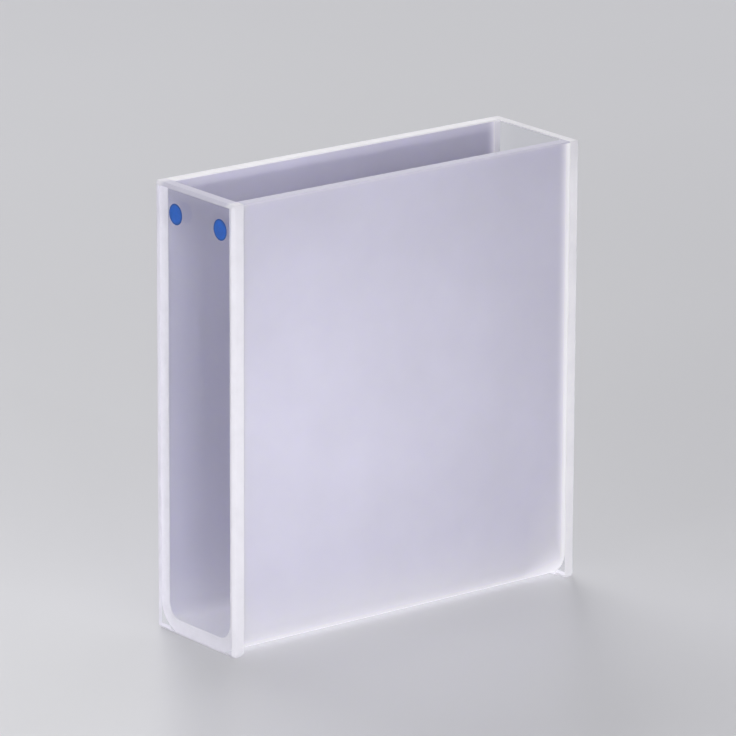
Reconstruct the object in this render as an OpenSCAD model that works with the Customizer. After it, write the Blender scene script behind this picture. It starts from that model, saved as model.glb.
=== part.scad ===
// Rectangular optical cell, open at the top. A frosted U-shaped trough is closed at both ends by a
// clear polished window, and each joint is filled with white fused frit that stands out in a small
// bead inside. Two printed dots on the left window show which way round the cell is used.
//
// Light passes along X, through both windows. +Z is up, and the origin is the middle of the base.

/* [Chamber] */
// Inside length between the windows, which is the light path
light_path = 40; // [10:0.5:100]
// Inside width between the two frosted walls
chamber_width = 10; // [8:0.5:40]
// Outside height from the base to the rim
cell_height = 45; // [20:0.5:100]

/* [Trough] */
// Thickness of the two frosted walls
wall_thickness = 1.25; // [0.8:0.05:3]
// Thickness of the trough's floor
floor_thickness = 1.25; // [0.8:0.05:3]
// Inside radius where each wall bends into the floor
bend_radius = 1.75; // [0.8:0.05:3]
// Leg of the arris ground on the rim's long edges
rim_arris = 0.12; // [0.05:0.01:0.3]

/* [Windows] */
// Thickness of each clear window
window_thickness = 1.25; // [0.8:0.05:3]
// Leg of the arris ground round the outer face of a window
window_arris = 0.3; // [0.1:0.05:0.5]
// Radius of a window's two bottom corners
foot_radius = 0.4; // [0.1:0.05:0.8]
// Leg of the arris on the inner bottom edge of each foot, outside the trough's bend
foot_arris = 0.35; // [0.1:0.05:0.5]

/* [Bond] */
// Thickness of the frit between the trough's end and the window
frit_thickness = 0.03; // [0.01:0.01:0.1]
// Leg of the bead in the inside corners at the left window, where it's wiped nearly flush
left_bead_leg = 0.1; // [0.05:0.05:0.7]
// Leg of the bead in the inside corners at the right window
right_bead_leg = 0.4; // [0.05:0.05:0.7]

/* [Marker dots] */
// Diameter of a printed dot
dot_diameter = 2.1; // [0.5:0.1:2.5]
// Thickness of the print
dot_thickness = 0.02; // [0.01:0.01:0.1]
// Distance from the window's front edge to the centre of the front dot
front_dot_inset = 2; // [1.8:0.1:3]
// Distance from the window's back edge to the centre of the back dot
back_dot_inset = 3.4; // [1.8:0.1:4]
// Depth of the dots' centres below the rim
dot_depth = 2.7; // [1.8:0.1:10]

/* [Hidden] */

$fn = 96;
// Extra length that carries a cut clear of the surface it opens
cut_margin = 1;

cell_width = chamber_width + 2 * wall_thickness;
cell_length = light_path + 2 * window_thickness;
trough_length = light_path - 2 * frit_thickness;
outer_bend_radius = bend_radius + wall_thickness;
// The bend stands clear of the base over this much of a window's bottom edge, at each side
foot_length = outer_bend_radius / 2;

// Turns a flat outline, drawn with Y across and Z up, so that it is extruded along +X
module along_x() {
    rotate([90, 0, 90]) children();
}

// Square bar along X that cuts an arris of the given leg from the edge it is centred on
module arris_bar(run, leg) {
    rotate([45, 0, 0]) cube([run, leg * sqrt(2), leg * sqrt(2)], center = true);
}

// Rectangle standing on the origin, with both bottom corners rounded
module round_bottomed(width, height, radius) {
    translate([-width / 2 + radius, 0]) square([width - 2 * radius, height]);
    translate([-width / 2, radius]) square([width, height - radius]);
    for (side = [-1, 1])
        translate([side * (width / 2 - radius), radius]) circle(radius);
}

// Cross-section of the trough, with an arris at each edge of both rims
module trough_section() {
    difference() {
        round_bottomed(cell_width, cell_height, outer_bend_radius);
        translate([0, floor_thickness])
            round_bottomed(chamber_width, cell_height - floor_thickness + cut_margin, bend_radius);
        for (edge = [-cell_width, -chamber_width, chamber_width, cell_width])
            translate([edge / 2, cell_height]) rotate(45)
                square(rim_arris * sqrt(2), center = true);
    }
}

// Section of a bead: a right-angled triangle against the wall (X = 0) and the window (Y = 0)
module bead_section(leg) {
    polygon([[0, 0], [0, leg], [-leg, 0]]);
}

// Straight bead against a wall at X = 0, running down from the origin along -Y
module bead_run(length, leg) {
    rotate([90, 0, 0]) linear_extrude(length) bead_section(leg);
}

// Bead in the inside corners: down a wall, round the bend and along the floor, on both sides
module bead(leg) {
    wall_y = chamber_width / 2;
    bend_y = wall_y - bend_radius;
    bend_z = floor_thickness + bend_radius;
    bead_top = cell_height - rim_arris;
    for (side = [0, 1])
        mirror([side, 0, 0]) {
            translate([wall_y, bead_top, 0]) bead_run(bead_top - bend_z, leg);
            translate([bend_y, bend_z, 0]) rotate([0, 0, -90]) rotate_extrude(angle = 90)
                translate([bend_radius, 0]) bead_section(leg);
            translate([bend_y, floor_thickness, 0]) rotate([0, 0, -90]) bead_run(bend_y, leg);
        }
}

// Window with its outer face on X = 0 and its inner face towards +X
module window() {
    difference() {
        along_x() linear_extrude(window_thickness)
            round_bottomed(cell_width, cell_height, foot_radius);
        for (height = [0, cell_height])
            translate([0, 0, height]) rotate([0, 0, 90])
                arris_bar(cell_width + cut_margin, window_arris);
        for (side = [-1, 1]) {
            translate([0, side * cell_width / 2, cell_height / 2]) rotate([0, 90, 0])
                arris_bar(cell_height + cut_margin, window_arris);
            translate([window_thickness, side * (cell_width - foot_length) / 2, 0]) rotate([0, 0, 90])
                arris_bar(foot_length, foot_arris);
        }
    }
}

// Frit at one end, lying on a window's inner face at X = 0: the layer on the trough's end and the bead
module bond(bead_leg) {
    along_x() {
        linear_extrude(frit_thickness) trough_section();
        bead(bead_leg);
    }
}

// Printed dot on the left window's outer face, centred at the given distance across it
module marker_dot(centre_y) {
    translate([-cell_length / 2 - dot_thickness, centre_y, cell_height - dot_depth])
        rotate([0, 90, 0]) cylinder(h = dot_thickness, d = dot_diameter);
}

module trough() {
    color([0.84, 0.83, 0.9])
        translate([-trough_length / 2, 0, 0]) along_x() linear_extrude(trough_length) trough_section();
}

module left_window() {
    color([0.8, 0.82, 0.9, 0.4]) translate([-cell_length / 2, 0, 0]) window();
}

module right_window() {
    color([0.8, 0.82, 0.9, 0.4]) translate([cell_length / 2, 0, 0]) mirror([1, 0, 0]) window();
}

module left_bond() {
    color([0.95, 0.94, 0.97]) translate([-light_path / 2, 0, 0]) bond(left_bead_leg);
}

module right_bond() {
    color([0.95, 0.94, 0.97]) translate([light_path / 2, 0, 0]) mirror([1, 0, 0]) bond(right_bead_leg);
}

module front_dot() {
    color([0.15, 0.36, 0.7]) marker_dot(-cell_width / 2 + front_dot_inset);
}

module back_dot() {
    color([0.15, 0.36, 0.7]) marker_dot(cell_width / 2 - back_dot_inset);
}

trough();
left_window();
right_window();
left_bond();
right_bond();
front_dot();
back_dot();
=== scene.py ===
import math

import bpy
import numpy as np
from bpy.props import FloatProperty, FloatVectorProperty, PointerProperty
from mathutils import Matrix, Vector


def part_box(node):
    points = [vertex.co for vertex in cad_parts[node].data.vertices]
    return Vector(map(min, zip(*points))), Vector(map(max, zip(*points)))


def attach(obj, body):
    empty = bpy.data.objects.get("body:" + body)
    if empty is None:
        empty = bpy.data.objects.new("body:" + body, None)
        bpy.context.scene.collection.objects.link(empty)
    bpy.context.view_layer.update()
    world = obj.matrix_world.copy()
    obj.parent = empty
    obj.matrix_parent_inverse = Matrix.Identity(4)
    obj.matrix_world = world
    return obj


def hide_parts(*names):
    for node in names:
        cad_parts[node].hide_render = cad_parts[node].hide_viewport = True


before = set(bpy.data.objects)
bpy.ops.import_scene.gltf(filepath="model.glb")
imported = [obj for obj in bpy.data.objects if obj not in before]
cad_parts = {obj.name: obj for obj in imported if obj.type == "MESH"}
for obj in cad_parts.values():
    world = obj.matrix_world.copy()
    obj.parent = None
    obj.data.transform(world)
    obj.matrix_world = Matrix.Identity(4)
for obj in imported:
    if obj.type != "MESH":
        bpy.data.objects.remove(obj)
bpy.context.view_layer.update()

bl_info = {
    "name": "Optical cell",
    "version": (1, 0, 0),
    "blender": (4, 5, 0),
    "location": "3D View > Sidebar > Optical cell",
    "description": "Builds a bonded glass cell: frosted trough, clear windows, frit joints and printed dots",
    "category": "Add Mesh",
}

BODY = "root"

TROUGH_LOW, TROUGH_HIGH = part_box("trough")
LEFT_LOW, LEFT_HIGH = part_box("left_window")
RIGHT_LOW, RIGHT_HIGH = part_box("right_window")

CELL_WIDTH = TROUGH_HIGH.y - TROUGH_LOW.y
CELL_HEIGHT = TROUGH_HIGH.z
WINDOW_THICKNESS = LEFT_HIGH.x - LEFT_LOW.x
FRIT_THICKNESS = TROUGH_LOW.x - LEFT_HIGH.x

# Opaque print and frit sit this far inside the clear glass, as a fused joint has no air gap
OPTICAL_CONTACT = 1e-6
# An edge that is only just broken, and the plates' nearly square top corners
HAIR_ARRIS = 0.00002
TOP_CORNER_RADIUS = 0.0001
# Width of the first ring inside a plate's arris, and of the fade where an arris begins or where the painted
# shade on a plate's top begins
FACE_MARGIN = 0.0003
PAINTED_SHADE_FADE = 0.0006
# Steps round each eased rim, and rows of points along the trough
RIM_STEPS = 4
TROUGH_STATIONS = 25
# Faces that meet at more than this angle show a crease
SHARP_ANGLE = math.radians(34)

# Frit bead: power of its hollow face, unevenness and wave length of its leg, and the leg's share at the rims
BEAD_HOLLOW = 2.3
BEAD_UNEVENNESS = 0.12
BEAD_WAVE = 0.021
BEAD_AT_RIM = 0.04
# How far the layer's outer side wanders, its wave length, and how far the bead's foot stands off the wall
LAYER_WANDER = 4e-6
LAYER_WAVE = 0.0037
BEAD_FOOT = 3e-6

# Printed dot, as shares of its radius or of its film's thickness
DOT_EDGE = 0.045
DOT_CROWN = 0.14
DOT_WAVER = 0.004
# A dot's dark rim: its tone as a share of the blue, and where it starts and how fast it fades inwards
RIM_TONE = 0.55
RIM_START, RIM_FADE = 0.97, 0.15

# Attribute that says how much painted light each point of a ground edge gets: 0 gives painted shade, a
# duller tone, and 1 the full edge colour with a painted glow
PAINTED_EDGE_LIGHT = "painted_edge_light"
# Attribute that says how full a printed film is, from its dark rim 0 to its middle 1
FULLNESS = "fullness"
# Painted shade: the share of painted light on the front half of the trough's ground edges, such as its front
# rim
FRONT_RIM_PAINTED_LIGHT = 0.15

# Emission that stands in for light carried inside the glass and let out again: at the trough's base and
# beaded end, by white ground edges, and by the frit
PIPED_LIGHT = 0.5
EDGE_PIPED_LIGHT = 0.2
FRIT_PIPED_LIGHT = 0.1
# Reach of the painted light, a paler base colour, and of the emission in from the trough's beaded end, its
# rim and its base
PAINTED_LIGHT_REACHES = (0.0018, 0.0003, 0.009)
PIPED_REACHES = (0.0015, 0.00005, 0.0025)
# Share of the light on a plate's ground edge that goes on into the clear glass
EDGE_PASSING = 0.15
GLASS_IOR = 1.46
# How far light wanders inside the milky glass, and how that length differs between red, green and blue
SCATTER_LENGTH = 0.0007
SCATTER_TINT = (1.0, 0.97, 1.12)
BLACK = (0, 0, 0)

# Softboxes, all facing the middle of the cell: name, place, width, height, power in watts
SOFTBOXES = (
    ("key", (-0.06, -0.20, 0.10), 0.08, 0.08, 0.088),
    ("left_strip", (-0.17, -0.06, 0.05), 0.03, 0.08, 0.06),
    ("overhead", (0.0, 0.0, 0.70), 0.35, 0.35, 0.8),
    ("top_strip", (0.02, 0.04, 0.24), 0.10, 0.10, 0.06),
    ("back_fill", (0.15, 0.50, 0.45), 0.40, 0.30, 2.0),
    ("right_fill", (0.45, 0.10, 0.15), 0.20, 0.20, 0.3),
)
# Soft-edged pools of light: name, place, target, full angle in degrees, edge softness, power in watts
POOLS = (
    ("front_pool", (0.08, -0.92, 0.12), (-0.012, -0.006, 0.018), 5.5, 0.8, 12.0),
    ("left_pool", (-0.42, -0.85, 0.30), (-0.022, 0.0, 0.012), 6.8, 1.0, 3.0),
)
POOL_SOURCE_RADIUS = 0.03
AMBIENT_COLOUR = (0.95, 0.95, 1.0, 1)

# Studio floor: radius of its flat, of the bend up to its wall, the wall's height and its thickness
FLOOR_SHAPE = (1.1, 0.5, 0.9, 0.02)
FLOOR_GAP = 0.00002
# How far right of and above the middle of the cell the camera aims
AIM_RIGHT, AIM_UP = -0.00011, 0.00143
SENSOR_WIDTH = 36


class CellSizes(bpy.types.PropertyGroup):
    """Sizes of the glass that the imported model's boxes don't give"""

    wall: FloatProperty(
        name="Wall", description="Thickness of the trough's walls and floor",
        default=0.00125, min=0.0005, max=0.003, unit="LENGTH", precision=5)
    bend: FloatProperty(
        name="Bend radius", description="Inside radius where a wall bends into the floor",
        default=0.00175, min=0.0008, max=0.003, unit="LENGTH", precision=5)
    rim_arris: FloatProperty(
        name="Rim arris", description="Radius that the rim's long edges are eased to",
        default=0.00012, min=0.00005, max=0.0003, unit="LENGTH", precision=5)
    window_arris: FloatProperty(
        name="Window arris", description="Leg of the arris round a window's outer face",
        default=0.0003, min=0.0001, max=0.0005, unit="LENGTH", precision=5)
    foot_radius: FloatProperty(
        name="Foot radius", description="Radius of a window's two bottom corners",
        default=0.0004, min=0.0001, max=0.0008, unit="LENGTH", precision=5)
    foot_arris: FloatProperty(
        name="Foot arris", description="Leg of the arris on the inner bottom edge of each foot",
        default=0.00035, min=0.0001, max=0.0005, unit="LENGTH", precision=5)
    left_bead: FloatProperty(
        name="Left bead", description="Leg of the frit bead at the left window, where it is nearly flush",
        default=0.0001, min=0.00005, max=0.0007, unit="LENGTH", precision=5)
    right_bead: FloatProperty(
        name="Right bead", description="Leg of the frit bead in the inside corners at the right window",
        default=0.0004, min=0.00005, max=0.0007, unit="LENGTH", precision=5)


class CellColours(bpy.types.PropertyGroup):
    """Colours of the cell's glass, frit and print"""

    frosted: FloatVectorProperty(
        name="Frosted glass", description="Milky body colour of the trough",
        default=(0.70, 0.685, 0.80), size=3, min=0, max=1, subtype="COLOR")
    edge: FloatVectorProperty(
        name="Ground edge", description="White of the ground edges",
        default=(0.85, 0.838, 0.875), size=3, min=0, max=1, subtype="COLOR")
    # Painted shade: the duller tone of ground edges that get less light, on the trough's front rim and on
    # the left window
    shaded_edge: FloatVectorProperty(
        name="Shaded edge", description="Duller tone of the edges that are polished to a satin",
        default=(0.70, 0.68, 0.825), size=3, min=0, max=1, subtype="COLOR")
    clear: FloatVectorProperty(
        name="Clear glass", description="Tint of the polished windows",
        default=(0.965, 0.97, 0.99), size=3, min=0, max=1, subtype="COLOR")
    frit: FloatVectorProperty(
        name="Frit", description="White of the fused frit",
        default=(0.88, 0.865, 0.91), size=3, min=0, max=1, subtype="COLOR")
    print_blue: FloatVectorProperty(
        name="Print", description="Blue of the printed dots",
        default=(0.014, 0.155, 0.70), size=3, min=0, max=1, subtype="COLOR")


class StudioSettings(bpy.types.PropertyGroup):
    """Camera, light and floor of the studio"""

    azimuth: FloatProperty(
        name="Azimuth", description="How far the camera stands to the left of the front view",
        default=math.radians(37.99), subtype="ANGLE")
    elevation: FloatProperty(
        name="Elevation", description="How far the camera looks down",
        default=math.radians(16.25), subtype="ANGLE")
    roll: FloatProperty(
        name="Roll", description="Turn of the camera about its own axis",
        default=math.radians(0.24), subtype="ANGLE")
    distance: FloatProperty(
        name="Distance", description="Distance from the camera to the middle of the cell",
        default=0.6216, min=0.1, max=5, unit="LENGTH")
    focal: FloatProperty(
        name="Focal length", description="Focal length on a 36 mm sensor, in millimetres",
        default=311.0, min=20, max=1000)
    floor: FloatVectorProperty(
        name="Floor", description="Pale colour of the floor and backdrop",
        default=(0.50, 0.50, 0.52), size=3, min=0, max=1, subtype="COLOR")
    floor_glow: FloatProperty(
        name="Floor glow", description="Light that comes up through the floor",
        default=0.37, min=0, max=3)
    ambient: FloatProperty(
        name="Ambient", description="Strength of the even light all round",
        default=0.01, min=0, max=5)


def arc(centre, radius, start, end, steps):
    """Points of a circle's arc in a plane and their outward normals: centre plus radius times (cos, sin)."""
    turn = np.radians(np.linspace(start, end, steps + 1))
    normal = np.stack([np.cos(turn), np.sin(turn)], axis=1)
    return np.asarray(centre) + radius * normal, normal


def straight(start, end, normal, steps):
    """Evenly spaced points from start to end, both ends left out, all with the same normal."""
    share = np.linspace(0, 1, steps + 1)[1:-1, None]
    points = (1 - share) * np.asarray(start) + share * np.asarray(end)
    return points, np.broadcast_to(normal, points.shape)


def u_path(sizes, wall_steps=34, bend_steps=18, floor_steps=14):
    """Mid-line of the trough's bent wall in (y, z), with outward normals and half the wall's thickness.

    It runs down the front wall, round a quarter circle, along the floor, round another quarter circle and
    up the back wall. The bend radius is the inside radius plus half the wall. At both rims the height rises
    by the sine of a quarter turn while the half thickness shrinks by one less its cosine."""
    radius = sizes.bend + sizes.wall / 2
    wall_y = CELL_WIDTH / 2 - sizes.wall / 2
    bend_y = wall_y - radius
    bend_z = sizes.wall + sizes.bend
    shoulder = CELL_HEIGHT - sizes.rim_arris

    turn = np.radians(np.linspace(90, 0, RIM_STEPS + 1))
    rim_z = shoulder + sizes.rim_arris * np.sin(turn)
    rim_half = sizes.wall / 2 - sizes.rim_arris * (1 - np.cos(turn))
    front_rim = np.stack([np.full_like(rim_z, -wall_y), rim_z], axis=1)
    outward = np.broadcast_to((-1.0, 0.0), front_rim.shape)

    stretches = (
        (front_rim, outward),
        straight((-wall_y, shoulder), (-wall_y, bend_z), (-1, 0), wall_steps),
        arc((-bend_y, bend_z), radius, 180, 270, bend_steps),
        straight((-bend_y, bend_z - radius), (bend_y, bend_z - radius), (0, -1), floor_steps),
        arc((bend_y, bend_z), radius, 270, 360, bend_steps),
        straight((wall_y, bend_z), (wall_y, shoulder), (1, 0), wall_steps),
        (front_rim[::-1] * (-1, 1), -outward),
    )
    points = np.concatenate([stretch[0] for stretch in stretches])
    normals = np.concatenate([stretch[1] for stretch in stretches])
    half = np.full(len(points), sizes.wall / 2)
    half[: RIM_STEPS + 1] = rim_half
    half[-RIM_STEPS - 1 :] = rim_half[::-1]
    return points, normals, half


def path_length(points):
    """Distance along a path at each of its points, from the lengths of its steps."""
    steps = np.linalg.norm(np.diff(points, axis=0), axis=1)
    return np.concatenate([[0.0], np.cumsum(steps)])


def waves(along, size):
    """Slow unevenness between -1 and 1: three sines of unlike lengths, the longest about size."""
    turns = 2 * math.pi * along / size
    return (np.sin(turns + 0.7) + 0.6 * np.sin(2.3 * turns + 2.1) + 0.4 * np.sin(5.1 * turns + 4.0)) / 2


def carry(path, normals, across, along_x):
    """Profile carried along a path: each point is path + across * normal in (y, z), and along_x in x."""
    yz = path[:, None, :] + across[:, :, None] * normals[:, None, :]
    x = np.broadcast_to(along_x, yz.shape[:2])
    return np.concatenate([x[:, :, None], yz], axis=2)


def plate_outline(inset, foot_radius):
    """Outline of a plate in (y, z), drawn in by inset: a rectangle whose corners are quarter circles.

    It runs along the bottom, up the back side, along the top and down the front side. Every corner's radius
    shrinks with the inset but never vanishes, so all outlines have the same number of points."""
    bottom_steps, corner_steps, side_steps, top_steps = 80, 8, 40, 20
    foot = max(foot_radius - inset, HAIR_ARRIS)
    top = max(TOP_CORNER_RADIUS - inset, HAIR_ARRIS)
    edge_y = CELL_WIDTH / 2 - inset
    low, high = inset, CELL_HEIGHT - inset
    stretches = (
        straight((-edge_y + foot, low), (edge_y - foot, low), (0, -1), bottom_steps),
        arc((edge_y - foot, low + foot), foot, 270, 360, corner_steps),
        straight((edge_y, low + foot), (edge_y, high - top), (1, 0), side_steps),
        arc((edge_y - top, high - top), top, 0, 90, corner_steps),
        straight((edge_y - top, high), (-edge_y + top, high), (0, 1), top_steps),
        arc((-edge_y + top, high - top), top, 90, 180, corner_steps),
        straight((-edge_y, high - top), (-edge_y, low + foot), (-1, 0), side_steps),
        arc((-edge_y + foot, low + foot), foot, 180, 270, corner_steps),
    )
    points = np.concatenate([stretch[0] for stretch in stretches])
    normals = np.concatenate([stretch[1] for stretch in stretches])
    return points, normals


def eased_corner(before, corner, after, radius, steps=3):
    """A corner rounded off: a quadratic curve that leaves one side and joins the other near the corner."""
    before, corner, after = (np.asarray(point, float) for point in (before, corner, after))
    start = corner + radius * (before - corner) / np.linalg.norm(before - corner)
    end = corner + radius * (after - corner) / np.linalg.norm(after - corner)
    share = np.linspace(0, 1, steps + 1)[:, None]
    return (1 - share) ** 2 * start + 2 * share * (1 - share) * corner + share**2 * end


def ring_quads(rows, columns):
    """Quads between neighbouring rows of points, where each row is a closed ring."""
    row = np.arange(rows - 1)[:, None] * columns
    here = np.arange(columns)[None, :]
    following = (here + 1) % columns
    corners = (row + here, row + following, row + columns + following, row + columns + here)
    return np.stack(corners, axis=2).reshape(-1, 4)


def signed_volume(points, quads, caps):
    """Volume inside a closed surface, from the triple products of its triangles; negative if inside out."""
    fans = [np.stack([np.full(len(cap) - 2, cap[0]), cap[1:-1], cap[2:]], axis=1) for cap in caps]
    triangles = np.concatenate([quads[:, [0, 1, 2]], quads[:, [0, 2, 3]], *fans])
    first, second, third = (points[triangles[:, corner]] for corner in range(3))
    return np.einsum("ij,ij->i", first, np.cross(second, third)).sum() / 6


def closed_piece(name, rings, materials, slot_of_quad=None, cap_slots=(0, 0), mask=None):
    """Closed mesh through an array of rings, its first and last ring filled in, with faces outwards.

    rings has one row of points for each ring. slot_of_quad gives a material slot for each quad, row by row,
    and mask an attribute's name and its number for each point, for the material to read."""
    rows, columns = rings.shape[:2]
    points = rings.reshape(-1, 3)
    quads = ring_quads(rows, columns)
    caps = [np.arange(columns)[::-1], (rows - 1) * columns + np.arange(columns)]
    if signed_volume(points, quads, caps) < 0:
        quads = quads[:, ::-1]
        caps = [cap[::-1] for cap in caps]
    mesh = bpy.data.meshes.new(name)
    mesh.from_pydata(points.tolist(), [], quads.tolist() + [cap.tolist() for cap in caps])
    for material in materials:
        mesh.materials.append(material)
    slots = np.zeros(len(quads) + 2, np.int32)
    if slot_of_quad is not None:
        slots[:-2] = slot_of_quad.reshape(-1)
    slots[-2:] = cap_slots
    mesh.polygons.foreach_set("material_index", slots)
    mesh.polygons.foreach_set("use_smooth", np.ones(len(slots), bool))
    mesh.set_sharp_from_angle(angle=SHARP_ANGLE)
    if mask is not None:
        attribute = mesh.attributes.new(mask[0], "FLOAT", "POINT")
        attribute.data.foreach_set("value", mask[1].reshape(-1).astype(np.float32))
    mesh.update()
    piece = bpy.data.objects.new(name, mesh)
    bpy.context.scene.collection.objects.link(piece)
    return piece


def declare(piece, node):
    """Says which body a finished piece belongs to, and hides the CAD node it stands in for."""
    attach(piece, BODY)
    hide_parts(node)


def new_group(name, inputs, outputs):
    """Empty shader node group with float and vector sockets, and its input and output nodes."""
    tree = bpy.data.node_groups.new(name, "ShaderNodeTree")
    for socket, kind, default in inputs:
        made = tree.interface.new_socket(name=socket, in_out="INPUT", socket_type=kind)
        if default is not None:
            made.default_value = default
    for socket, kind in outputs:
        tree.interface.new_socket(name=socket, in_out="OUTPUT", socket_type=kind)
    return tree, tree.nodes.new("NodeGroupInput"), tree.nodes.new("NodeGroupOutput")


def maths(tree, operation, first, second=None, clamp=False):
    """Math node on sockets or plain numbers; returns its output socket."""
    node = tree.nodes.new("ShaderNodeMath")
    node.operation = operation
    node.use_clamp = clamp
    for socket, value in zip(node.inputs, (first, second)):
        if isinstance(value, bpy.types.NodeSocket):
            tree.links.new(value, socket)
        elif value is not None:
            socket.default_value = value
    return node.outputs[0]


def noise(tree, position, scale, detail, roughness=0.55):
    """Noise texture on a position; returns its factor, which lies round one half."""
    node = tree.nodes.new("ShaderNodeTexNoise")
    node.inputs["Detail"].default_value = detail
    node.inputs["Roughness"].default_value = roughness
    tree.links.new(position, node.inputs["Vector"])
    if isinstance(scale, bpy.types.NodeSocket):
        tree.links.new(scale, node.inputs["Scale"])
    else:
        node.inputs["Scale"].default_value = scale
    return node.outputs["Fac"]


def ground_grain_group():
    """Surface left by grinding: a fine pitted grain for the bump, and soft clouds for colour and gloss."""
    inputs = (("Position", "NodeSocketVector", None), ("Grain", "NodeSocketFloat", 9000.0),
              ("Clouds", "NodeSocketFloat", 140.0))
    outputs = (("Height", "NodeSocketFloat"), ("Cloud", "NodeSocketFloat"))
    tree, given, out = new_group("Ground grain", inputs, outputs)
    grain = noise(tree, given.outputs["Position"], given.outputs["Grain"], detail=3.0, roughness=0.7)
    cloud = noise(tree, given.outputs["Position"], given.outputs["Clouds"], detail=3.0, roughness=0.6)
    tree.links.new(grain, out.inputs["Height"])
    tree.links.new(cloud, out.inputs["Cloud"])
    return tree


def edge_glow_group():
    """How near a point of the trough is to its beaded end, rim or base: 1 at that edge, fading to 0, a mask
    for painted light and glow there.

    The nearest of the three distances, each a share of its own reach, is taken from 1 and squared. Over the
    corner length next to the beaded end, the base reach grows evenly to the corner gain times as much."""
    inputs = (("Position", "NodeSocketVector", None), ("End", "NodeSocketFloat", 0.02),
              ("Height", "NodeSocketFloat", 0.045), ("End reach", "NodeSocketFloat", 0.001),
              ("Rim reach", "NodeSocketFloat", 0.001), ("Base reach", "NodeSocketFloat", 0.004),
              ("Corner length", "NodeSocketFloat", 0.005), ("Corner gain", "NodeSocketFloat", 2.5))
    tree, given, out = new_group("Edge glow", inputs, (("Glow", "NodeSocketFloat"),))
    split = tree.nodes.new("ShaderNodeSeparateXYZ")
    tree.links.new(given.outputs["Position"], split.inputs[0])
    from_end = maths(tree, "SUBTRACT", given.outputs["End"], split.outputs["X"])
    from_rim = maths(tree, "SUBTRACT", given.outputs["Height"], split.outputs["Z"])
    end_share = maths(tree, "DIVIDE", from_end, given.outputs["End reach"])
    rim_share = maths(tree, "DIVIDE", from_rim, given.outputs["Rim reach"])
    corner_share = maths(tree, "DIVIDE", from_end, given.outputs["Corner length"])
    near_corner = maths(tree, "SUBTRACT", 1.0, corner_share, clamp=True)
    gain = maths(tree, "ADD", 1.0, maths(tree, "MULTIPLY", near_corner,
                                         maths(tree, "SUBTRACT", given.outputs["Corner gain"], 1.0)))
    base_reach = maths(tree, "MULTIPLY", given.outputs["Base reach"], gain)
    base_share = maths(tree, "DIVIDE", split.outputs["Z"], base_reach)
    nearest = maths(tree, "MINIMUM", maths(tree, "MINIMUM", end_share, rim_share), base_share)
    glow = maths(tree, "POWER", maths(tree, "SUBTRACT", 1.0, nearest, clamp=True), 2.0)
    tree.links.new(glow, out.inputs["Glow"])
    return tree


def group(name, build):
    """The shader node group of that name, built the first time it's asked for."""
    return bpy.data.node_groups.get(name) or build()


def new_material(name):
    """Material with a Principled shader; returns it, its tree, the shader and the object coordinates."""
    material = bpy.data.materials.new(name)
    material.use_nodes = True
    tree = material.node_tree
    shader = tree.nodes["Principled BSDF"]
    position = tree.nodes.new("ShaderNodeTexCoord").outputs["Object"]
    return material, tree, shader, position


def add_grain(tree, position, grain, clouds):
    """Places the ground grain group in a material with its own sizes; returns the group node."""
    node = tree.nodes.new("ShaderNodeGroup")
    node.node_tree = group("Ground grain", ground_grain_group)
    node.inputs["Grain"].default_value = grain
    node.inputs["Clouds"].default_value = clouds
    tree.links.new(position, node.inputs["Position"])
    return node


def add_edge_glow(tree, position, end_reach, rim_reach, base_reach):
    """Places the edge glow group in a material with its own reaches; returns its mask."""
    node = tree.nodes.new("ShaderNodeGroup")
    node.node_tree = group("Edge glow", edge_glow_group)
    node.inputs["End"].default_value = TROUGH_HIGH.x
    node.inputs["Height"].default_value = CELL_HEIGHT
    node.inputs["End reach"].default_value = end_reach
    node.inputs["Rim reach"].default_value = rim_reach
    node.inputs["Base reach"].default_value = base_reach
    tree.links.new(position, node.inputs["Position"])
    return node.outputs["Glow"]


def add_bump(tree, shader, height, distance):
    """Bump from a height socket into a shader's normal; distance is the height's full range."""
    bump = tree.nodes.new("ShaderNodeBump")
    bump.inputs["Distance"].default_value = distance
    tree.links.new(height, bump.inputs["Height"])
    tree.links.new(bump.outputs["Normal"], shader.inputs["Normal"])


def spread(tree, factor, low, high):
    """Factor, taken between 0.3 and 0.7 where noise lies, spread evenly from low to high."""
    node = tree.nodes.new("ShaderNodeMapRange")
    node.inputs["From Min"].default_value = 0.3
    node.inputs["From Max"].default_value = 0.7
    node.inputs["To Min"].default_value = low
    node.inputs["To Max"].default_value = high
    tree.links.new(factor, node.inputs["Value"])
    return node.outputs["Result"]


def blend_colours(tree, factor, first, second):
    """Mix of two colours, each a socket or a plain colour, by a factor socket."""
    node = tree.nodes.new("ShaderNodeMix")
    node.data_type = "RGBA"
    tree.links.new(factor, node.inputs["Factor"])
    for socket, colour in ((node.inputs[6], first), (node.inputs[7], second)):
        if isinstance(colour, bpy.types.NodeSocket):
            tree.links.new(colour, socket)
        else:
            socket.default_value = (*colour, 1)
    return node.outputs[2]


def shade(colour, share):
    """Colour with every channel scaled by the same share."""
    return tuple(channel * share for channel in colour)


def mottle(tree, cloud, colour, darkest, lightest):
    """Colour that wanders between two shares of itself, following a cloud mask."""
    return blend_colours(tree, spread(tree, cloud, 0, 1), shade(colour, darkest), shade(colour, lightest))


def mask_of(tree, name):
    """Value of a piece's point attribute, for a material to follow."""
    node = tree.nodes.new("ShaderNodeAttribute")
    node.attribute_name = name
    return node.outputs["Fac"]


def mix_shaders(tree, factor, first, second):
    """Shows the first shader where the factor, a number or a socket, is 0, and the second where it is 1."""
    mix = tree.nodes.new("ShaderNodeMixShader")
    if isinstance(factor, bpy.types.NodeSocket):
        tree.links.new(factor, mix.inputs["Fac"])
    else:
        mix.inputs["Fac"].default_value = factor
    tree.links.new(first.outputs["BSDF"], mix.inputs[1])
    tree.links.new(second.outputs["BSDF"], mix.inputs[2])
    tree.links.new(mix.outputs["Shader"], tree.nodes["Material Output"].inputs["Surface"])


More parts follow.
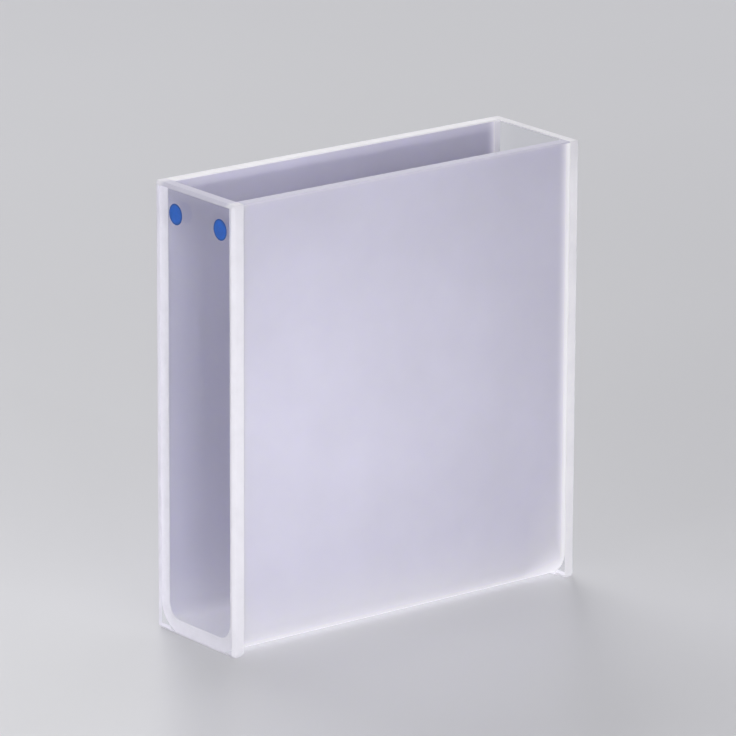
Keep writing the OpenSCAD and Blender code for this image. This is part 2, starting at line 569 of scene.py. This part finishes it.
def frosted_glass(colours):
    """Fine ground milky glass that scatters light inside, with painted light: paler, and glowing faintly, by
    its base, beaded end and rim.
    """
    material, tree, shader, position = new_material("milky_glass")
    grain = add_grain(tree, position, grain=9000.0, clouds=110.0)
    body = mottle(tree, grain.outputs["Cloud"], colours.frosted, darkest=0.965, lightest=1.02)
    # Painted light: the base colour turns to the edge colour, and a painted glow is added, near the base,
    # the beaded end and the rim
    painted_light = add_edge_glow(tree, position, *PAINTED_LIGHT_REACHES)
    tree.links.new(blend_colours(tree, painted_light, body, colours.edge[:]), shader.inputs["Base Color"])
    piped = add_edge_glow(tree, position, *PIPED_REACHES)
    tree.links.new(blend_colours(tree, piped, BLACK, colours.edge[:]), shader.inputs["Emission Color"])
    shader.inputs["Emission Strength"].default_value = PIPED_LIGHT
    tree.links.new(spread(tree, grain.outputs["Cloud"], low=0.46, high=0.56), shader.inputs["Roughness"])
    shader.inputs["IOR"].default_value = GLASS_IOR
    shader.inputs["Subsurface Weight"].default_value = 1.0
    shader.inputs["Subsurface Radius"].default_value = SCATTER_TINT
    shader.inputs["Subsurface Scale"].default_value = SCATTER_LENGTH
    add_bump(tree, shader, grain.outputs["Height"], distance=3e-6)
    return material


def ground_edge(colours, name="ground_edge"):
    """Coarser ground edge, whitish, with painted shade, a duller tone, where its share of painted light is
    low, and a faint painted glow where it is high.
    """
    material, tree, shader, position = new_material(name)
    grain = add_grain(tree, position, grain=6500.0, clouds=420.0)
    lit_white = mottle(tree, grain.outputs["Cloud"], colours.edge, darkest=0.955, lightest=1.03)
    painted_edge_light = mask_of(tree, PAINTED_EDGE_LIGHT)
    colour = blend_colours(tree, painted_edge_light, colours.shaded_edge[:], lit_white)
    tree.links.new(colour, shader.inputs["Base Color"])
    # Painted glow: the lit edge colour let out as emission, in step with the share of painted light
    tree.links.new(blend_colours(tree, painted_edge_light, BLACK, lit_white), shader.inputs["Emission Color"])
    shader.inputs["Emission Strength"].default_value = EDGE_PIPED_LIGHT
    tree.links.new(spread(tree, grain.outputs["Height"], low=0.5, high=0.66), shader.inputs["Roughness"])
    shader.inputs["IOR"].default_value = GLASS_IOR
    add_bump(tree, shader, grain.outputs["Height"], distance=5e-6)
    return material


def plate_edge(colours):
    """The same ground edge round a clear plate, where a share of the light goes on into the glass."""
    material = ground_edge(colours, "plate_edge")
    tree = material.node_tree
    shader = tree.nodes["Principled BSDF"]
    colour = shader.inputs["Base Color"].links[0].from_socket
    passing = tree.nodes.new("ShaderNodeBsdfTranslucent")
    tree.links.new(colour, passing.inputs["Color"])
    mix_shaders(tree, EDGE_PASSING, shader, passing)
    return material


def clear_glass(colours):
    """Polished clear glass with the faintest haze where it has been wiped. It lets lamps' light through."""
    material, tree, shader, position = new_material("clear_glass")
    wiped = noise(tree, position, scale=90.0, detail=2.0)
    tree.links.new(spread(tree, wiped, low=0.0, high=0.012), shader.inputs["Roughness"])
    shader.inputs["Base Color"].default_value = (*colours.clear, 1)
    shader.inputs["IOR"].default_value = GLASS_IOR
    shader.inputs["Transmission Weight"].default_value = 1.0
    rays = tree.nodes.new("ShaderNodeLightPath")
    passing = tree.nodes.new("ShaderNodeBsdfTransparent")
    passing.inputs["Color"].default_value = (*colours.clear, 1)
    mix_shaders(tree, rays.outputs["Is Shadow Ray"], shader, passing)
    return material


def fused_frit(colours):
    """White fused frit, softly glossy and faintly pitted, with a faint painted glow."""
    material, tree, shader, position = new_material("white_frit")
    grain = add_grain(tree, position, grain=4000.0, clouds=600.0)
    colour = mottle(tree, grain.outputs["Cloud"], colours.frit, darkest=0.95, lightest=1.03)
    tree.links.new(colour, shader.inputs["Base Color"])
    # Painted glow: the frit's own colour let out faintly as emission
    tree.links.new(colour, shader.inputs["Emission Color"])
    shader.inputs["Emission Strength"].default_value = FRIT_PIPED_LIGHT
    tree.links.new(spread(tree, grain.outputs["Height"], low=0.34, high=0.5), shader.inputs["Roughness"])
    add_bump(tree, shader, grain.outputs["Height"], distance=8e-6)
    return material


def printed_enamel(colours):
    """Blue enamel print: a little uneven in tone, darker round its rim, with a soft gloss."""
    material, tree, shader, position = new_material("blue_enamel")
    grain = add_grain(tree, position, grain=5000.0, clouds=1300.0)
    full = mottle(tree, grain.outputs["Cloud"], colours.print_blue, darkest=0.88, lightest=1.15)
    colour = blend_colours(tree, mask_of(tree, FULLNESS), shade(colours.print_blue, RIM_TONE), full)
    tree.links.new(colour, shader.inputs["Base Color"])
    tree.links.new(spread(tree, grain.outputs["Height"], low=0.3, high=0.42), shader.inputs["Roughness"])
    add_bump(tree, shader, grain.outputs["Height"], distance=3e-6)
    return material


def finish(name, build, colours):
    """The material of that name, built the first time a piece needs it."""
    return bpy.data.materials.get(name) or build(colours)


def window_rings(sizes):
    """Rings of a plate as (depth from its outer face, y, z), and the rows of quads that are ground.

    Each ring is the plate's outline drawn in by an inset. Depth and inset follow an eased 45 degree arris
    round the outer face, then the edge. The inner edge is broken by a hair, and by the full arris under the
    feet, the share of it growing over a short length and fading round each bottom corner."""
    arris = sizes.window_arris
    ease = arris / 6
    face_margin = (0.0, arris + FACE_MARGIN)
    rows = np.concatenate([
        [face_margin],
        eased_corner(face_margin, (0.0, arris), (arris, 0.0), ease),
        eased_corner((0.0, arris), (arris, 0.0), (WINDOW_THICKNESS, 0.0), ease),
    ])
    rings = []
    for depth, inset in rows:
        outline, _ = plate_outline(inset, sizes.foot_radius)
        rings.append(np.column_stack([np.full(len(outline), depth), outline]))

    edge, normal = plate_outline(0.0, sizes.foot_radius)
    foot_length = (sizes.bend + sizes.wall) / 2
    from_side = CELL_WIDTH / 2 - np.abs(edge[:, 0])
    under_foot = np.clip((foot_length - from_side) / FACE_MARGIN + 0.5, 0, 1)
    near_base = np.clip(1 - edge[:, 1] / sizes.foot_radius, 0, 1)
    leg = HAIR_ARRIS + (sizes.foot_arris - HAIR_ARRIS) * under_foot * near_base
    rings.append(np.column_stack([WINDOW_THICKNESS - leg, edge]))
    rings.append(np.column_stack([np.full(len(edge), WINDOW_THICKNESS), edge - leg[:, None] * normal]))
    inner, _ = plate_outline(sizes.foot_arris + FACE_MARGIN, sizes.foot_radius)
    rings.append(np.column_stack([np.full(len(edge), WINDOW_THICKNESS), inner]))
    return np.stack(rings), slice(1, len(rings) - 2)


def bond_rings(sizes, bead):
    """Rings of a fused joint as (depth from the window, y, z), one for each step along the U.

    The profile is the thin layer between window and trough, with a bead in the inside corner. The bead's
    face is hollow: across and up, its distances from the corner are the leg times the cosine and the sine
    of a quarter turn, each to the power of BEAD_HOLLOW. The leg swells and shrinks slowly along the joint,
    and is cut to a small share where the rims are eased."""
    path, normals, half = u_path(sizes)
    along = path_length(path)
    full = np.isclose(half, sizes.wall / 2, rtol=0, atol=1e-9)
    leg = bead * (1 + BEAD_UNEVENNESS * waves(along, BEAD_WAVE)) * np.where(full, 1.0, BEAD_AT_RIM)
    outer = half - LAYER_WANDER * (1 + waves(along, LAYER_WAVE))

    share = np.linspace(0, 1, 7)[None, :]
    turn = np.radians(np.linspace(0, 90, 10))[None, 1:]
    leg, outer, half = leg[:, None], outer[:, None], half[:, None]
    layer_n = outer - share * (outer + half + leg)
    face_n = -half - BEAD_FOOT - leg * np.cos(turn) ** BEAD_HOLLOW
    face_x = FRIT_THICKNESS + leg * np.sin(turn) ** BEAD_HOLLOW
    wall_n = np.broadcast_to(-half + OPTICAL_CONTACT, face_n.shape)
    end_n = outer - share * (outer + half - OPTICAL_CONTACT)
    end_x = np.full_like(end_n, FRIT_THICKNESS + OPTICAL_CONTACT)
    layer_x = np.full_like(layer_n, -OPTICAL_CONTACT)
    across = np.concatenate([layer_n, face_n, wall_n[:, ::-1], end_n[:, ::-1]], axis=1)
    depth = np.concatenate([layer_x, face_x, face_x[:, ::-1], end_x[:, ::-1]], axis=1)
    return carry(path, normals, across, depth)


def dot_rings(low, high):
    """Rings of a printed dot as (height above the glass, y, z), and how full its film of ink is there.

    They run from its back to the middle of its front. The film's edge is a quarter of an ellipse, and its
    front is very slightly crowned: the height falls with the square of the distance from the middle. The
    outline is a circle whose radius wavers by a few parts in a thousand, as ink spreads."""
    centre = (low + high) / 2
    radius = (high.z - low.z) / 2
    film = high.x - low.x
    angle = np.linspace(0, 2 * math.pi, 96, endpoint=False)
    turn = np.radians(np.linspace(0, 90, 6))
    front = (0.8, 0.6, 0.4, 0.2, 0.03)
    shares = np.concatenate([[0.5], 1 - DOT_EDGE + DOT_EDGE * np.cos(turn), front])
    crown = 1 - DOT_CROWN + DOT_CROWN * (1 - shares**2)
    heights = film * crown * np.concatenate([[0], np.sin(turn), np.ones(len(front))])
    heights[:2] = -OPTICAL_CONTACT
    waver = 1 - DOT_WAVER * (1 + waves(angle / (2 * math.pi), 1.0))
    y = centre.y + radius * shares[:, None] * (waver * np.cos(angle))[None, :]
    z = centre.z + radius * shares[:, None] * (waver * np.sin(angle))[None, :]
    fullness = np.clip((RIM_START - shares) / RIM_FADE, 0, 1)
    rings = np.stack([np.broadcast_to(heights[:, None], y.shape), y, z], axis=2)
    return rings, np.broadcast_to(fullness[:, None], y.shape)


def placed(rings, plane_x, inward):
    """Rings whose first coordinate, a depth or height, is measured from a plane, moved into the frame."""
    rings = rings.copy()
    rings[:, :, 0] = plane_x + inward * rings[:, :, 0]
    return rings


class CELL_OT_build_trough(bpy.types.Operator):
    """Build the frosted trough: a rectangle, the wall's thickness by its length, carried along a U"""

    bl_idname = "cell.build_trough"
    bl_label = "Frosted trough"

    def execute(self, context):
        sizes = context.scene.cell_sizes
        colours = context.scene.cell_colours
        path, normals, half = u_path(sizes)
        stations = np.linspace(TROUGH_LOW.x, TROUGH_HIGH.x, TROUGH_STATIONS)
        side = np.repeat([1.0, -1.0], len(stations))
        rings = carry(path, normals, half[:, None] * side, np.concatenate([stations, stations[::-1]]))
        slots = np.zeros((len(path) - 1, len(side)), int)
        slots[:RIM_STEPS] = 1
        slots[-RIM_STEPS:] = 1
        slots[:, [len(stations) - 1, -1]] = 1
        materials = [finish("milky_glass", frosted_glass, colours),
                     finish("ground_edge", ground_edge, colours)]
        # Painted shade: ground edges on the front half get only a small share of painted light, so the front
        # rim is duller and does not glow, while the back rim keeps the full edge colour and glows
        mask = (PAINTED_EDGE_LIGHT, np.where(rings[:, :, 1] < 0, FRONT_RIM_PAINTED_LIGHT, 1.0))
        piece = closed_piece("frosted_trough", rings, materials, slots, cap_slots=(1, 1), mask=mask)
        declare(piece, "trough")
        return {"FINISHED"}


class CELL_OT_build_windows(bpy.types.Operator):
    """Build the two clear windows: a rounded rectangle, drawn in, carried through the plate's thickness"""

    bl_idname = "cell.build_windows"
    bl_label = "Clear windows"

    def execute(self, context):
        sizes = context.scene.cell_sizes
        colours = context.scene.cell_colours
        materials = [finish("clear_glass", clear_glass, colours),
                     finish("plate_edge", plate_edge, colours)]
        rings, ground = window_rings(sizes)
        slots = np.zeros((rings.shape[0] - 1, rings.shape[1]), int)
        slots[ground] = 1
        y, z = np.abs(rings[:, :, 1]), rings[:, :, 2]
        on_top = z > CELL_HEIGHT - sizes.window_arris - HAIR_ARRIS
        # Painted shade: a mask over the top between the corners, where a plate's top takes its own share of
        # painted light
        shaded_edge = on_top * np.clip((CELL_WIDTH / 2 - sizes.wall * 0.6 - y) / PAINTED_SHADE_FADE, 0, 1)
        # Name, CAD node, outer face, way inwards, share of painted light on the edges, and on the top
        # between its corners; the left plate's lower shares are painted shade
        plates = (("clear_window_left", "left_window", LEFT_LOW.x, 1, 0.8, 0.22),
                  ("clear_window_right", "right_window", RIGHT_HIGH.x, -1, 1.0, 1.0))
        for name, node, face_x, inward, lit_white, lit_white_on_top in plates:
            mask = (PAINTED_EDGE_LIGHT, lit_white + (lit_white_on_top - lit_white) * shaded_edge)
            piece = closed_piece(name, placed(rings, face_x, inward), materials, slots, mask=mask)
            declare(piece, node)
        return {"FINISHED"}


class CELL_OT_build_bonds(bpy.types.Operator):
    """Build the two fused frit joints: a layer with a hollow bead, carried along the U"""

    bl_idname = "cell.build_bonds"
    bl_label = "Frit joints"

    def execute(self, context):
        sizes = context.scene.cell_sizes
        materials = [finish("white_frit", fused_frit, context.scene.cell_colours)]
        joints = (("frit_joint_left", "left_bond", LEFT_HIGH.x, 1, sizes.left_bead),
                  ("frit_joint_right", "right_bond", RIGHT_LOW.x, -1, sizes.right_bead))
        for name, node, face_x, inward, bead in joints:
            piece = closed_piece(name, placed(bond_rings(sizes, bead), face_x, inward), materials)
            declare(piece, node)
        return {"FINISHED"}


class CELL_OT_print_dots(bpy.types.Operator):
    """Print the two marker dots: thin crowned discs fused on the left window's outer face"""

    bl_idname = "cell.print_dots"
    bl_label = "Marker dots"

    def execute(self, context):
        materials = [finish("blue_enamel", printed_enamel, context.scene.cell_colours)]
        for name, node in (("blue_dot_front", "front_dot"), ("blue_dot_back", "back_dot")):
            rings, fullness = dot_rings(*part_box(node))
            rings = placed(rings, LEFT_LOW.x, -1)
            piece = closed_piece(name, rings, materials, mask=(FULLNESS, fullness))
            declare(piece, node)
        return {"FINISHED"}


def dish_rings(flat_radius, bend_radius, wall_height, thickness):
    """Rings of a round studio floor whose edge curves up into a low wall, from its middle and back under.

    Flat to one radius, then a quarter circle upwards, then the wall, its top, and the outside back down. It
    lies a hair below the cell, so the two never share a plane."""
    bend, _ = arc((flat_radius, bend_radius), bend_radius, -90, 0, 24)
    outer = flat_radius + bend_radius + thickness
    profile = np.concatenate([
        [(0.05, 0.0), (0.2, 0.0), (0.6 * flat_radius, 0.0)], bend,
        [(outer - thickness, wall_height), (outer, wall_height), (outer, -thickness), (0.05, -thickness)],
    ])
    angle = np.linspace(0, 2 * math.pi, 128, endpoint=False)
    radius, height = profile[:, :1], profile[:, 1:]
    z = np.broadcast_to(height - FLOOR_GAP, (len(profile), len(angle)))
    return np.stack([radius * np.cos(angle), radius * np.sin(angle), z], axis=2)


def studio_floor(settings):
    """Pale, softly glossy floor with the faintest unevenness in tone and gloss."""
    material, tree, shader, position = new_material("studio_floor")
    soft = noise(tree, position, scale=6.0, detail=4.0)
    colour = mottle(tree, soft, settings.floor, darkest=0.985, lightest=1.01)
    tree.links.new(colour, shader.inputs["Base Color"])
    tree.links.new(spread(tree, soft, low=0.36, high=0.42), shader.inputs["Roughness"])
    shader.inputs["Emission Color"].default_value = (*settings.floor, 1)
    shader.inputs["Emission Strength"].default_value = settings.floor_glow
    return material


def aim_lamp(light, place, target, power):
    """Puts a light of some power in the studio at a place, facing a target."""
    light.energy = power
    lamp = bpy.data.objects.new(light.name, light)
    lamp.location = place
    lamp.rotation_euler = (Vector(target) - Vector(place)).to_track_quat("-Z", "Y").to_euler()
    bpy.context.scene.collection.objects.link(lamp)


def place_camera(settings):
    """Camera on a sphere round its target near the middle of the cell, rolled about its own axis."""
    azimuth, elevation, roll = settings.azimuth, settings.elevation, settings.roll
    back = Vector((-math.sin(azimuth) * math.cos(elevation), -math.cos(azimuth) * math.cos(elevation),
                   math.sin(elevation)))
    level = Vector((math.cos(azimuth), -math.sin(azimuth), 0))
    upright = back.cross(level)
    right = math.cos(roll) * level + math.sin(roll) * upright
    up = math.cos(roll) * upright - math.sin(roll) * level
    target = Vector((0, 0, CELL_HEIGHT / 2)) + AIM_RIGHT * right + AIM_UP * up
    data = bpy.data.cameras.new("camera")
    data.sensor_width = SENSOR_WIDTH
    data.lens = settings.focal
    data.clip_start = 0.01
    camera = bpy.data.objects.new("camera", data)
    axes = Matrix((right, up, back)).transposed()
    camera.matrix_world = Matrix.Translation(target + settings.distance * back) @ axes.to_4x4()
    bpy.context.scene.collection.objects.link(camera)
    bpy.context.scene.camera = camera


class CELL_OT_set_studio(bpy.types.Operator):
    """Set up the pale floor, the even light, the softboxes, the pools of light and the camera"""

    bl_idname = "cell.set_studio"
    bl_label = "Studio"

    def execute(self, context):
        scene = context.scene
        settings = scene.cell_studio
        closed_piece("studio_floor", dish_rings(*FLOOR_SHAPE), [studio_floor(settings)])

        world = bpy.data.worlds.new("studio")
        world.use_nodes = True
        backdrop = world.node_tree.nodes["Background"]
        backdrop.inputs["Color"].default_value = AMBIENT_COLOUR
        backdrop.inputs["Strength"].default_value = settings.ambient
        scene.world = world
        middle = (0, 0, CELL_HEIGHT / 2)
        for name, place, width, height, power in SOFTBOXES:
            light = bpy.data.lights.new(name, "AREA")
            light.shape = "RECTANGLE"
            light.size = width
            light.size_y = height
            aim_lamp(light, place, middle, power)
        for name, place, target, angle, softness, power in POOLS:
            light = bpy.data.lights.new(name, "SPOT")
            light.spot_size = math.radians(angle)
            light.spot_blend = softness
            light.shadow_soft_size = POOL_SOURCE_RADIUS
            aim_lamp(light, place, target, power)
        scene.view_settings.view_transform = "Standard"
        scene.cycles.transmission_bounces = 16
        scene.cycles.max_bounces = 20
        place_camera(settings)
        return {"FINISHED"}


class CELL_PT_panel(bpy.types.Panel):
    """Lists the cell's building steps, sizes and colours"""

    bl_idname = "CELL_PT_panel"
    bl_label = "Optical cell"
    bl_space_type = "VIEW_3D"
    bl_region_type = "UI"
    bl_category = "Optical cell"

    def draw(self, context):
        for step in STEPS:
            self.layout.operator(step.bl_idname)
        for settings in ("cell_sizes", "cell_colours", "cell_studio"):
            box = self.layout.box()
            group_of_settings = getattr(context.scene, settings)
            for key in group_of_settings.bl_rna.properties.keys():
                if key not in ("rna_type", "name"):
                    box.prop(group_of_settings, key)


STEPS = (
    CELL_OT_build_trough,
    CELL_OT_build_windows,
    CELL_OT_build_bonds,
    CELL_OT_print_dots,
    CELL_OT_set_studio,
)
CLASSES = (CellSizes, CellColours, StudioSettings, *STEPS, CELL_PT_panel)


def register():
    """Registers the classes and hangs the settings on the scene."""
    for cls in CLASSES:
        bpy.utils.register_class(cls)
    bpy.types.Scene.cell_sizes = PointerProperty(type=CellSizes)
    bpy.types.Scene.cell_colours = PointerProperty(type=CellColours)
    bpy.types.Scene.cell_studio = PointerProperty(type=StudioSettings)


def unregister():
    """Takes the settings off the scene and the classes out again."""
    del bpy.types.Scene.cell_studio
    del bpy.types.Scene.cell_colours
    del bpy.types.Scene.cell_sizes
    for cls in reversed(CLASSES):
        bpy.utils.unregister_class(cls)


def corners(box):
    """Lowest and highest corner of a box as plain lists of numbers."""
    return [list(corner) for corner in box]


def main():
    """Builds the cell and its studio."""
    register()
    bpy.ops.cell.build_trough()
    bpy.ops.cell.build_windows()
    bpy.ops.cell.build_bonds()
    bpy.ops.cell.print_dots()
    bpy.ops.cell.set_studio()


if __name__ == "__main__":
    main()
